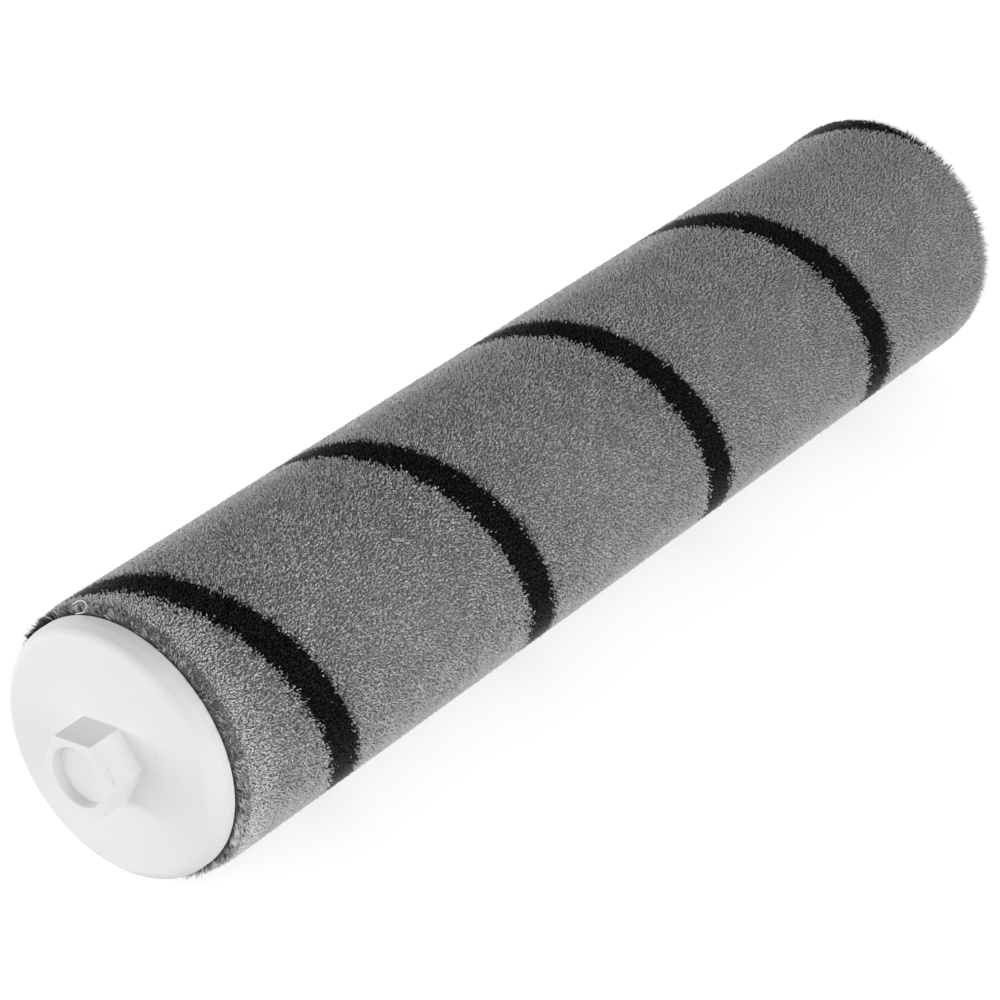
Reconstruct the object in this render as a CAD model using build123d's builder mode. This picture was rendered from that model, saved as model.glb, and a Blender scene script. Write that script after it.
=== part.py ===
from build123d import *

import os
from math import ceil

# Soft roller brush for the floor head of a stick vacuum, lying on its side.
# The roller's axis runs along X, with the hex end cap at -X and the drive socket at +X.
# The origin is on the floor under the middle of the roller. Sizes are in millimetres.

# Core tube and pile
core_diameter = 36.0
core_wall = 2.0
core_length = 220.0
glue_line = 0.1
fabric_thickness = 6.9
pile_edge_radius = 3.0
pile_edge_crown = 0.6
flat_spot_depth = 0.4

# Black stripe: one right-handed helix, measured along the roller
stripe_pitch = 53.4
stripe_width = 7.1
stripe_lead = 9.7

# End cap with its hollow hex boss
cap_diameter = 46.3
cap_thickness = 4.85
cap_edge_radius = 3.0
cap_back_edge_radius = 0.4
cap_face_wall = 2.2
cap_rim_wall = 2.0
cap_rib_count = 6
cap_rib_thickness = 1.4
cap_rib_setback = 0.5
cap_gap = 0.5
hub_diameter = 9.2
hex_across_flats = 13.5
hex_height = 6.85
hex_turn = 53.4
hex_edge_radius = 0.4
hex_rim_radius = 0.2
recess_diameter = 10.8
recess_depth = 2.0
recess_floor = 2.0

# Ball bearing
bearing_bore = 6.0
bearing_outer_diameter = 19.0
bearing_width = 6.0
ring_edge_chamfer = 0.2
ball_diameter = 3.5
ball_count = 7
ball_clearance = 0.05
groove_radius_ratio = 0.52
groove_depth = 0.6
shield_thickness = 0.3
shield_inset = 0.2
shield_seat = 0.4
shield_clearance = 0.25
cage_clearance = 0.3
cage_pocket_clearance = 0.08
cage_web = 0.4
cage_claw_height = 1.1

# Axle pin, thrust washer and retaining clip
pin_chamfer = 0.5
pin_tail = 1.6
washer_diameter = 10.0
washer_thickness = 0.5
clip_diameter = 11.0
clip_thickness = 0.7
clip_band = 1.5
clip_prong_width = 2.2
clip_mouth = 4.4
clip_groove_diameter = 5.0
clip_groove_play = 0.1

# Plugs in the two ends of the core tube
plug_flange = 1.5
plug_spigot_length = 14.0
plug_spigot_wall = 2.0
plug_hub_wall = 2.0
plug_rib_count = 6
plug_rib_thickness = 1.6
plug_chamfer = 0.6
bearing_recess = 1.0
bearing_shoulder = 1.5
bearing_shoulder_bore = 13.4

# Drive socket
collar_diameter = 19.2
collar_depth = 3.0
collar_chamfer = 0.8
spline_root_diameter = 18.0
spline_tip_diameter = 14.4
spline_tooth_count = 8
spline_tooth_root_width = 3.6
spline_tooth_tip_width = 2.2
spline_depth = 11.0
socket_floor = 2.0

# Radii and heights that follow from the sizes above
core_radius = core_diameter / 2
core_bore_radius = core_radius - core_wall
backing_radius = core_radius + glue_line
pile_radius = backing_radius + fabric_thickness
axis_height = pile_radius - flat_spot_depth
cap_radius = cap_diameter / 2
pin_radius = bearing_bore / 2
bearing_radius = bearing_outer_diameter / 2
ball_radius = ball_diameter / 2
ball_circle_radius = (pin_radius + bearing_radius) / 2
inner_groove_radius = ball_circle_radius - ball_radius - ball_clearance
outer_groove_radius = ball_circle_radius + ball_radius + ball_clearance
inner_shoulder_radius = inner_groove_radius + groove_depth
outer_land_radius = outer_groove_radius - groove_depth
groove_radius = groove_radius_ratio * ball_diameter
shield_outer_radius = outer_land_radius + shield_seat
shield_inner_radius = inner_shoulder_radius + shield_clearance
shield_step = shield_inset + shield_thickness

# Places along X, from the boss's front to the drive end
pile_length = core_length + 2 * plug_flange
overall_length = hex_height + cap_thickness + cap_gap + pile_length
boss_front = -overall_length / 2
cap_face = boss_front + hex_height
cap_back = cap_face + cap_thickness
pile_start = cap_back + cap_gap
core_start = pile_start + plug_flange
core_end = core_start + core_length
pile_end = core_end + plug_flange
bearing_front = pile_start + bearing_recess
bearing_middle = bearing_front + bearing_width / 2
bearing_back = bearing_front + bearing_width
clip_front = bearing_back + washer_thickness
clip_back = clip_front + clip_thickness
pin_start = boss_front + recess_depth + recess_floor
pin_end = clip_back + pin_tail

roller_axis = Axis((0, 0, axis_height), (1, 0, 0))


def station(x):
    """Plane across the roller at x, with its own x along +Y and its own y along +Z."""
    return Plane(origin=(x, 0, axis_height), x_dir=(0, 1, 0), z_dir=(1, 0, 0))


# Half-section plane: its own x runs along the roller and its own y is the radius
section_plane = Plane(origin=(0, 0, axis_height), x_dir=(1, 0, 0), z_dir=(0, -1, 0))


# Core tube
with BuildPart() as core_tube:
    with BuildSketch(station(core_start)):
        Circle(core_radius)
        Circle(core_bore_radius, mode=Mode.SUBTRACT)
    extrude(amount=core_length)

# Trimming form of the wound pile: plain ends with a soft edge, and a crown above the pile's tips
crown_radius = pile_radius + pile_edge_crown
edge_radius = crown_radius - pile_edge_radius
edge_start = pile_start + pile_edge_radius
edge_end = pile_end - pile_edge_radius
with BuildPart() as pile_ends:
    with BuildSketch(section_plane):
        with BuildLine():
            RadiusArc((pile_start, edge_radius), (edge_start, crown_radius), pile_edge_radius)
            Line((edge_start, crown_radius), (edge_end, crown_radius))
            RadiusArc((edge_end, crown_radius), (pile_end, edge_radius), pile_edge_radius)
            Polyline((pile_end, edge_radius), (pile_end, 0), (pile_start, 0), (pile_start, edge_radius))
        make_face()
    revolve(axis=roller_axis)

winding_turns = ceil(pile_length / stripe_pitch) + 2


def wound_strip(centre, width):
    """Strip of pile wound on the core, centred at x = centre where it first crosses the top line.

    It starts before the pile's near end, and is trimmed to the soft ends and the floor.
    """
    with BuildPart() as strip:
        with BuildLine() as path:
            Helix(
                pitch=stripe_pitch,
                height=winding_turns * stripe_pitch,
                radius=backing_radius + fabric_thickness / 2,
                center=(centre, 0, axis_height),
                direction=(1, 0, 0),
            )
        with BuildSketch(Plane(origin=path.line @ 0, x_dir=(1, 0, 0), z_dir=(0, -1, 0))):
            Rectangle(width, fabric_thickness)
        sweep(is_frenet=True)
        split(bisect_by=Plane.XY, keep=Keep.TOP)
        add(pile_ends.part, mode=Mode.INTERSECT)
    return strip


# Black pile and, between its turns, the grey pile: two strips of one woven band
first_turn = pile_start + stripe_lead - stripe_pitch
black_stripe = wound_strip(first_turn, stripe_width)
pile_fabric = wound_strip(first_turn - stripe_pitch / 2, stripe_pitch - stripe_width)

# End cap: a ribbed dish with a hub behind and the hex boss in front
with BuildPart() as end_cap:
    with BuildSketch(station(cap_face)):
        Circle(cap_radius)
    extrude(amount=cap_thickness)
    rim_edges = end_cap.edges().filter_by(GeomType.CIRCLE).sort_by(Axis.X)
    fillet(rim_edges[0], cap_edge_radius)
    fillet(rim_edges[-1], cap_back_edge_radius)
    with BuildSketch(station(cap_face + cap_face_wall)):
        Circle(cap_radius - cap_rim_wall)
    extrude(amount=cap_thickness - cap_face_wall, mode=Mode.SUBTRACT)
    with BuildSketch(station(cap_face + cap_face_wall)):
        with PolarLocations(0, cap_rib_count):
            Rectangle(
                cap_radius - cap_rim_wall / 2,
                cap_rib_thickness,
                align=(Align.MIN, Align.CENTER),
            )
    extrude(amount=cap_thickness - cap_face_wall - cap_rib_setback)
    with BuildSketch(station(cap_face + cap_face_wall)):
        Circle(hub_diameter / 2)
    extrude(amount=bearing_front - cap_face - cap_face_wall)
    with BuildSketch(station(cap_face)) as hexagon:
        RegularPolygon(hex_across_flats / 2, 6, major_radius=False, rotation=hex_turn)
        fillet(hexagon.vertices(), hex_edge_radius)
    extrude(amount=-hex_height)
    with BuildSketch(station(boss_front)):
        Circle(recess_diameter / 2)
    extrude(amount=recess_depth, mode=Mode.SUBTRACT)
    fillet(end_cap.faces().sort_by(Axis.X)[0].edges(), hex_rim_radius)
    with BuildSketch(station(pin_start)):
        Circle(pin_radius)
    extrude(amount=bearing_front - pin_start, mode=Mode.SUBTRACT)

# Axle pin with the clip's groove near its tail
with BuildPart() as axle_pin:
    with BuildSketch(station(pin_start)):
        Circle(pin_radius)
    extrude(amount=pin_end - pin_start)
    chamfer(axle_pin.edges().filter_by(GeomType.CIRCLE), pin_chamfer)
    with BuildSketch(station(clip_front - clip_groove_play)):
        Circle(pin_radius)
        Circle(clip_groove_diameter / 2, mode=Mode.SUBTRACT)
    extrude(amount=clip_thickness + clip_groove_play, mode=Mode.SUBTRACT)

# Thrust washer between the inner ring and the clip
with BuildPart() as thrust_washer:
    with BuildSketch(station(bearing_back)):
        Circle(washer_diameter / 2)
        Circle(pin_radius, mode=Mode.SUBTRACT)
    extrude(amount=washer_thickness)

# E clip: an open band with three prongs that reach into the pin's groove
with BuildPart() as retaining_clip:
    with BuildSketch(station(clip_front)):
        Circle(clip_diameter / 2)
        Circle(clip_diameter / 2 - clip_band, mode=Mode.SUBTRACT)
        with PolarLocations(0, 3, start_angle=90, angular_range=180, endpoint=True):
            Rectangle(
                clip_diameter / 2 - clip_band / 2,
                clip_prong_width,
                align=(Align.MIN, Align.CENTER),
            )
        Rectangle(clip_diameter, clip_mouth, align=(Align.MIN, Align.CENTER), mode=Mode.SUBTRACT)
        Circle(clip_groove_diameter / 2, mode=Mode.SUBTRACT)
    extrude(amount=clip_thickness)

# Inner ring with its ball groove
with BuildPart() as bearing_inner_ring:
    with BuildSketch(station(bearing_front)):
        Circle(inner_shoulder_radius)
        Circle(pin_radius, mode=Mode.SUBTRACT)
    extrude(amount=bearing_width)
    shoulder_edges = bearing_inner_ring.edges().filter_by(GeomType.CIRCLE).group_by(SortBy.RADIUS)[-1]
    chamfer(shoulder_edges, ring_edge_chamfer)
    with BuildSketch(section_plane):
        with Locations((bearing_middle, inner_groove_radius + groove_radius)):
            Circle(groove_radius)
    revolve(axis=roller_axis, mode=Mode.SUBTRACT)

# Outer ring with its ball groove and a step for each shield
with BuildPart() as bearing_outer_ring:
    with BuildSketch(station(bearing_front)):
        Circle(bearing_radius)
        Circle(outer_land_radius, mode=Mode.SUBTRACT)
    extrude(amount=bearing_width)
    outside_edges = bearing_outer_ring.edges().filter_by(GeomType.CIRCLE).group_by(SortBy.RADIUS)[-1]
    chamfer(outside_edges, ring_edge_chamfer)
    with BuildSketch(section_plane):
        with Locations((bearing_middle, outer_groove_radius - groove_radius)):
            Circle(groove_radius)
    revolve(axis=roller_axis, mode=Mode.SUBTRACT)
    with BuildSketch(station(bearing_front), station(bearing_back - shield_step)):
        Circle(shield_outer_radius)
    extrude(amount=shield_step, mode=Mode.SUBTRACT)

# Balls
with BuildPart(station(bearing_middle)) as bearing_balls:
    with PolarLocations(ball_circle_radius, ball_count):
        Sphere(ball_radius)

# Crown cage: a ring whose claws open towards the cap
cage_front = bearing_middle - cage_claw_height
cage_back = bearing_middle + ball_radius + cage_pocket_clearance + cage_web
with BuildPart(station(bearing_middle)) as bearing_cage:
    with BuildSketch(station(cage_front)):
        Circle(outer_land_radius - cage_clearance)
        Circle(inner_shoulder_radius + cage_clearance, mode=Mode.SUBTRACT)
    extrude(amount=cage_back - cage_front)
    with PolarLocations(ball_circle_radius, ball_count):
        Sphere(ball_radius + cage_pocket_clearance, mode=Mode.SUBTRACT)

# Shields, each seated against the step in the outer ring
with BuildPart() as bearing_shield_front:
    with BuildSketch(station(bearing_front + shield_inset)):
        Circle(shield_outer_radius)
        Circle(shield_inner_radius, mode=Mode.SUBTRACT)
    extrude(amount=shield_thickness)

with BuildPart() as bearing_shield_rear:
    with BuildSketch(station(bearing_back - shield_inset)):
        Circle(shield_outer_radius)
        Circle(shield_inner_radius, mode=Mode.SUBTRACT)
    extrude(amount=-shield_thickness)


def plug_shell(flange_face, inward, hub_radius, hub_length):
    """Flange, spigot, hub and ribs of a plug, from the flange's outer face inwards along X."""
    shoulder = flange_face + inward * plug_flange
    rib_length = min(hub_length - plug_flange, plug_spigot_length)
    with BuildPart() as shell:
        with BuildSketch(station(flange_face)):
            Circle(core_radius)
        extrude(amount=inward * plug_flange)
        with BuildSketch(station(shoulder)):
            Circle(core_bore_radius)
            Circle(core_bore_radius - plug_spigot_wall, mode=Mode.SUBTRACT)
        extrude(amount=inward * plug_spigot_length)
        with BuildSketch(station(flange_face)):
            Circle(hub_radius)
        extrude(amount=inward * hub_length)
        with BuildSketch(station(shoulder)):
            with PolarLocations(0, plug_rib_count):
                Rectangle(
                    core_bore_radius - plug_spigot_wall / 2,
                    plug_rib_thickness,
                    align=(Align.MIN, Align.CENTER),
                )
        extrude(amount=inward * rib_length)
    return shell


# Plug at the free end, with the bearing's seat and the shoulder behind it
with BuildPart() as bearing_plug:
    seat_depth = bearing_recess + bearing_width
    add(plug_shell(pile_start, 1, bearing_radius + plug_hub_wall, seat_depth + bearing_shoulder).part)
    with BuildSketch(station(pile_start)):
        Circle(bearing_radius)
    extrude(amount=seat_depth, mode=Mode.SUBTRACT)
    with BuildSketch(station(bearing_back)):
        Circle(bearing_shoulder_bore / 2)
    extrude(amount=bearing_shoulder, mode=Mode.SUBTRACT)
    chamfer(bearing_plug.edges().filter_by(GeomType.CIRCLE).sort_by(Axis.X)[0], plug_chamfer)

# Plug at the drive end, with a toothed socket behind a plain round collar
with BuildPart() as drive_plug:
    socket_depth = collar_depth + spline_depth
    add(plug_shell(pile_end, -1, collar_diameter / 2 + plug_hub_wall, socket_depth + socket_floor).part)
    with BuildSketch(station(pile_end)):
        Circle(collar_diameter / 2)
    extrude(amount=-collar_depth, mode=Mode.SUBTRACT)
    mouth_edges = drive_plug.edges().filter_by(GeomType.CIRCLE).group_by(Axis.X)[-1]
    chamfer(mouth_edges.sort_by(SortBy.RADIUS)[0], collar_chamfer)
    with BuildSketch(station(pile_end - collar_depth)):
        Circle(spline_root_diameter / 2)
        tooth_height = (spline_root_diameter - spline_tip_diameter) / 2
        tooth_spread = spline_tooth_root_width - spline_tooth_tip_width / 2
        with PolarLocations(spline_root_diameter / 2, spline_tooth_count):
            Polygon(
                (-tooth_height, -spline_tooth_tip_width / 2),
                (tooth_height, -tooth_spread),
                (tooth_height, tooth_spread),
                (-tooth_height, spline_tooth_tip_width / 2),
                align=None,
                mode=Mode.SUBTRACT,
            )
    extrude(amount=-spline_depth, mode=Mode.SUBTRACT)

pieces = {
    "core_tube": core_tube,
    "pile_fabric": pile_fabric,
    "black_stripe": black_stripe,
    "end_cap": end_cap,
    "axle_pin": axle_pin,
    "thrust_washer": thrust_washer,
    "retaining_clip": retaining_clip,
    "bearing_inner_ring": bearing_inner_ring,
    "bearing_outer_ring": bearing_outer_ring,
    "bearing_balls": bearing_balls,
    "bearing_cage": bearing_cage,
    "bearing_shield_front": bearing_shield_front,
    "bearing_shield_rear": bearing_shield_rear,
    "bearing_plug": bearing_plug,
    "drive_plug": drive_plug,
}

os.makedirs("parts", exist_ok=True)
for name, piece in pieces.items():
    piece.part.label = name
    export_step(piece.part, f"parts/{name}.step")
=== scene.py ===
"""Dresses a soft roller brush: wound plush pile in two colours, a white end cap and a drive plug."""
import logging
import math
from dataclasses import dataclass
from enum import Enum

import bpy
import numpy as np
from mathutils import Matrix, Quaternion, Vector


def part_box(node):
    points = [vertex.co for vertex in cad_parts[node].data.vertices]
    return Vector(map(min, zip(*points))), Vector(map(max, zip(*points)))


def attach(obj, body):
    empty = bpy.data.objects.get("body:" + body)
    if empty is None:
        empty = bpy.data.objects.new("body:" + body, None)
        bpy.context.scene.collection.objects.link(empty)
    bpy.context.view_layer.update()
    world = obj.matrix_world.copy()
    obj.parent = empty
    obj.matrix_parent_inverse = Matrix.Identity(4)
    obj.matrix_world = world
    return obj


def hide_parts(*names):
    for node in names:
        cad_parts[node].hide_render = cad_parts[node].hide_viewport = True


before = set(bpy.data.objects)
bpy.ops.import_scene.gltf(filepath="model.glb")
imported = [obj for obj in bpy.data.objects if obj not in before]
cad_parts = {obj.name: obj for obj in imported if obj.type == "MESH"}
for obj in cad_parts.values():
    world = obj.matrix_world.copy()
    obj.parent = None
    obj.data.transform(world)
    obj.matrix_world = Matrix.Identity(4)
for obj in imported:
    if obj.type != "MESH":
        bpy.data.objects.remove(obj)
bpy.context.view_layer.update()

LOG = logging.getLogger("roller")

MM = 0.001
ROLLER_BODY = "roller"
FIBRE_MAP = "OFBake"
AXIS_HEIGHT = 24.6 * MM
TONE_RANGE = (0.02, 0.98)
NOISE_ENDS = (0.3, 0.7)

Colour = tuple[float, float, float]


class Strip(Enum):
    """The two pile strips that are wound side by side on the core."""

    GREY = "grey"
    BLACK = "black"


class End(Enum):
    """The two ends of the roller, with the way each one faces along the axis."""

    NEAR = -1
    FAR = 1


NODE_OF_STRIP = {Strip.GREY: "pile_fabric", Strip.BLACK: "black_stripe"}


def deselect() -> None:
    """Clears the selection, so that the next operator acts on its own piece alone."""
    bpy.ops.object.select_all(action="DESELECT")


def take_active() -> bpy.types.Object:
    """Returns the object that the last operator made."""
    return bpy.context.view_layer.objects.active


def discard(piece: bpy.types.Object) -> None:
    """Deletes an object and its mesh."""
    mesh = piece.data
    bpy.data.objects.remove(piece)
    bpy.data.meshes.remove(mesh)


def rgba(colour: Colour) -> tuple[float, float, float, float]:
    """Gives a linear colour its alpha."""
    return (*colour, 1.0)


def grey(level: float) -> Colour:
    """Gives a neutral linear colour."""
    return (level, level, level)


class Graph:
    """The node tree of one material, with short calls to add and join nodes."""

    def __init__(self, name: str) -> None:
        """Starts a material whose tree holds one principled shader."""
        self.material = bpy.data.materials.new(name)
        self.material.use_nodes = True
        self.tree = self.material.node_tree
        self.shader = self.tree.nodes["Principled BSDF"]

    def add(self, kind: str, **inputs: object) -> bpy.types.Node:
        """Adds a node and sets its inputs.

        Args:
            kind: the node's class, without its ShaderNode prefix.
            inputs: values of its sockets, with spaces in their names as underscores.

        Returns:
            The new node.
        """
        node = self.tree.nodes.new("ShaderNode" + kind)
        for name, value in inputs.items():
            node.inputs[name.replace("_", " ")].default_value = value
        return node

    def join(self, source: bpy.types.NodeSocket, target: bpy.types.NodeSocket) -> None:
        """Links one socket to another."""
        self.tree.links.new(source, target)

    def set(self, **inputs: object) -> None:
        """Sets constant values on the shader's own sockets."""
        for name, value in inputs.items():
            self.shader.inputs[name.replace("_", " ")].default_value = value

    def place(self, stretch: Vector = Vector((1, 1, 1))) -> bpy.types.NodeSocket:
        """Returns Object coordinates, stretched along each axis."""
        where = self.add("TexCoord").outputs["Object"]
        scaled = self.add("Mapping", Scale=stretch)
        self.join(where, scaled.inputs["Vector"])
        return scaled.outputs["Vector"]

    def off_axis(self, where: bpy.types.NodeSocket) -> bpy.types.NodeSocket:
        """Returns how far places lie from the roller's axis, as a vector across it."""
        node = self.add("Mapping", Location=(0.0, 0.0, -AXIS_HEIGHT), Scale=(0.0, 1.0, 1.0))
        self.join(where, node.inputs["Vector"])
        return node.outputs["Vector"]

    def noise(self, where: bpy.types.NodeSocket, size: float, detail: float = 3.0) -> bpy.types.NodeSocket:
        """Returns a noise value.

        Args:
            where: the coordinates that it reads.
            size: about how large one blotch is, in metres.
            detail: octaves of finer noise.

        Returns:
            The noise as a number from 0 to 1.
        """
        node = self.add("TexNoise", Scale=1.0 / size, Detail=detail)
        self.join(where, node.inputs["Vector"])
        return node.outputs["Fac"]

    def ramp(self, value: bpy.types.NodeSocket, stops: list[tuple[float, Colour]]) -> bpy.types.NodeSocket:
        """Returns a colour that follows a value.

        Args:
            value: the number that is looked up.
            stops: places from 0 to 1 with their colours.

        Returns:
            The colour socket.
        """
        node = self.add("ValToRGB")
        elements = node.color_ramp.elements
        while len(elements) < len(stops):
            elements.new(0.5)
        for element, (at, colour) in zip(elements, stops):
            element.position = at
            element.color = rgba(colour)
        self.join(value, node.inputs["Fac"])
        return node.outputs["Color"]

    def between(self, value: bpy.types.NodeSocket, low: float, high: float) -> bpy.types.NodeSocket:
        """Maps a value from 0..1 to low..high."""
        node = self.add("MapRange", To_Min=low, To_Max=high)
        self.join(value, node.inputs["Value"])
        return node.outputs["Result"]

    def times(self, colour: bpy.types.NodeSocket, factor: bpy.types.NodeSocket) -> bpy.types.NodeSocket:
        """Multiplies a colour by a number."""
        node = self.add("VectorMath")
        node.operation = "SCALE"
        self.join(colour, node.inputs["Vector"])
        self.join(factor, node.inputs["Scale"])
        return node.outputs["Vector"]

    def blend(self, colour: bpy.types.NodeSocket, other: Colour,
              share: bpy.types.NodeSocket) -> bpy.types.NodeSocket:
        """Mixes a colour with a fixed one.

        Args:
            colour: the colour where the share is 0.
            other: the colour where the share is 1.
            share: a number from 0 to 1.

        Returns:
            The mixed colour.
        """
        node = self.add("MixRGB", Color2=rgba(other))
        self.join(share, node.inputs["Fac"])
        self.join(colour, node.inputs["Color1"])
        return node.outputs["Color"]

    def spot(self, where: bpy.types.NodeSocket, centre: Vector, turn: float,
             reach: Vector) -> bpy.types.NodeSocket:
        """Returns a soft mark at one place.

        Args:
            where: the coordinates that it reads.
            centre: the mark's middle.
            turn: how far it is turned about the X axis.
            reach: its half sizes before that turn.

        Returns:
            A number that is 1 in the mark and 0 outside it.
        """
        local = self.add("Mapping", Location=centre, Rotation=(turn, 0.0, 0.0), Scale=reach)
        local.vector_type = "TEXTURE"
        self.join(where, local.inputs["Vector"])
        length = self.add("VectorMath")
        length.operation = "LENGTH"
        self.join(local.outputs["Vector"], length.inputs["Vector"])
        solid_share = 0.4
        fade = self.add("MapRange", From_Min=solid_share, From_Max=1.0, To_Min=1.0, To_Max=0.0)
        self.join(length.outputs["Value"], fade.inputs["Value"])
        return fade.outputs["Result"]

    def count(self, operation: str, *values: bpy.types.NodeSocket | float) -> bpy.types.NodeSocket:
        """Works out a number.

        Args:
            operation: the name of the sum.
            values: the numbers that go into it.

        Returns:
            The result.
        """
        node = self.add("Math")
        node.operation = operation
        for socket, value in zip(node.inputs, values):
            if isinstance(value, bpy.types.NodeSocket):
                self.join(value, socket)
            else:
                socket.default_value = value
        return node.outputs["Value"]

    def bump(self, height: bpy.types.NodeSocket, depth: float) -> None:
        """Gives the shader a bump, on top of any that it already has.

        Args:
            height: the relief as a number from 0 to 1.
            depth: the relief's depth in metres.
        """
        node = self.add("Bump", Distance=depth)
        self.join(height, node.inputs["Height"])
        normal = self.shader.inputs["Normal"]
        if normal.is_linked:
            self.join(normal.links[0].from_socket, node.inputs["Normal"])
        self.join(node.outputs["Normal"], normal)


@dataclass(frozen=True)
class FibreFinish:
    """Colour of pile fibres, with painted shade at their roots that lightens to their tips, and a painted
    sheen where the roller's side turns away.
    """

    name: str
    root: Colour
    middle: Colour
    tip: Colour
    spread: float
    roughness: float
    sheen: float
    gloss: float
    rise: float = 0.55
    grain: float = 0.15 * MM
    near_speckle: float = 0.0
    far_speckle: float = 0.0
    reach: float = 110 * MM
    # Painted sheen: how much pale colour is mixed into the base colour on the upper and lower sides, how
    # fast it fades inwards, its colour and the turn over which it shifts.
    top_painted_sheen: float = 0.0
    under_painted_sheen: float = 0.0
    painted_sheen_fall: float = 7.0
    glow: Colour = grey(0.85)
    painted_sheen_turn: float = 0.7
    root_roughness: float = 0.1
    sheen_roughness: float = 0.5

    def material(self) -> bpy.types.Material:
        """Makes the material, which reads each fibre's tone and height from its own map."""
        graph = Graph(self.name)
        spot = graph.add("UVMap")
        spot.uv_map = FIBRE_MAP
        parts = graph.add("SeparateXYZ")
        graph.join(spot.outputs["UV"], parts.inputs["Vector"])
        along = graph.ramp(parts.outputs["Y"], [(0.0, self.root), (self.rise, self.middle), (1.0, self.tip)])
        tone = graph.between(parts.outputs["X"], 1.0 - self.spread, 1.0 + self.spread)
        colour = graph.times(along, tone)
        if self.near_speckle:
            colour = graph.times(colour, self.speckle(graph))
        # Painted sheen: a pale colour mixed into the base colour where the roller's side turns away.
        if self.top_painted_sheen:
            colour = graph.blend(colour, self.glow, self.painted_sheen(graph))
        graph.join(colour, graph.shader.inputs["Base Color"])
        rough = graph.between(parts.outputs["Y"], self.roughness + self.root_roughness, self.roughness)
        graph.join(rough, graph.shader.inputs["Roughness"])
        graph.set(Sheen_Weight=self.sheen, Sheen_Roughness=self.sheen_roughness,
                  Specular_IOR_Level=self.gloss)
        return graph.material

    def speckle(self, graph: Graph) -> bpy.types.NodeSocket:
        """Makes a fine random shade, strongest at the near end of the roller.

        Args:
            graph: the material's tree.

        Returns:
            A factor about 1 for the colour.
        """
        where = graph.place()
        axes = graph.add("SeparateXYZ")
        graph.join(where, axes.inputs["Vector"])
        along = graph.add("MapRange", From_Min=-self.reach, From_Max=self.reach)
        graph.join(axes.outputs["X"], along.inputs["Value"])
        shade = graph.add("MapRange")
        graph.join(graph.noise(where, self.grain, 2.0), shade.inputs["Value"])
        for side, socket in ((-1.0, "To Min"), (1.0, "To Max")):
            swing = graph.between(along.outputs["Result"], 1.0 + side * self.near_speckle,
                                  1.0 + side * self.far_speckle)
            graph.join(swing, shade.inputs[socket])
        return shade.outputs["Result"]

    def painted_sheen(self, graph: Graph) -> bpy.types.NodeSocket:
        """Works out the painted sheen: a pale colour mixed into the base colour where the roller's side
        turns away from the view, stronger on its upper side, which faces the sky, than underneath.

        Args:
            graph: the material's tree.

        Returns:
            The painted sheen's share, from 0 to 1.
        """
        turned = graph.add("VectorTransform")
        turned.vector_type = "VECTOR"
        turned.convert_from = "OBJECT"
        turned.convert_to = "WORLD"
        graph.join(graph.off_axis(graph.place()), turned.inputs["Vector"])
        outward = graph.add("VectorMath")
        outward.operation = "NORMALIZE"
        graph.join(turned.outputs["Vector"], outward.inputs["Vector"])
        facing = graph.add("LayerWeight", Blend=0.5)
        graph.join(outward.outputs["Vector"], facing.inputs["Normal"])
        axes = graph.add("SeparateXYZ")
        graph.join(outward.outputs["Vector"], axes.inputs["Vector"])
        strength = graph.add("MapRange", From_Min=-self.painted_sheen_turn, From_Max=self.painted_sheen_turn,
                             To_Min=self.under_painted_sheen, To_Max=self.top_painted_sheen)
        graph.join(axes.outputs["Z"], strength.inputs["Value"])
        fall = graph.count("POWER", facing.outputs["Facing"], self.painted_sheen_fall)
        share = graph.count("MULTIPLY", fall, strength.outputs["Result"])
        share.node.use_clamp = True
        return share


@dataclass(frozen=True)
class BedFinish:
    """The dense lower pile that shows between the fibres. Its grain is the pile's own, and its greys, darker
    than the fibres', are painted shade down between them.
    """

    name: str
    dark: Colour
    light: Colour
    grain: float = 0.35 * MM
    patch: float = 6.0 * MM
    relief: float = 0.3 * MM
    patch_swing: float = 0.15
    roughness: float = 0.95
    gloss: float = 0.05

    def material(self) -> bpy.types.Material:
        """Makes the material from a fine grain and soft patches."""
        graph = Graph(self.name)
        where = graph.place()
        fine = graph.noise(where, self.grain, 4.0)
        colour = graph.ramp(fine, list(zip(NOISE_ENDS, (self.dark, self.light))))
        patches = graph.between(graph.noise(where, self.patch), 1.0 - self.patch_swing,
                                1.0 + self.patch_swing)
        graph.join(graph.times(colour, patches), graph.shader.inputs["Base Color"])
        graph.bump(fine, self.relief)
        graph.set(Roughness=self.roughness, Specular_IOR_Level=self.gloss)
        return graph.material


@dataclass(frozen=True)
class Mark:
    """A small dark mark on a moulding, in metres."""

    centre: Vector
    turn: float
    reach: Vector
    depth: float


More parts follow.
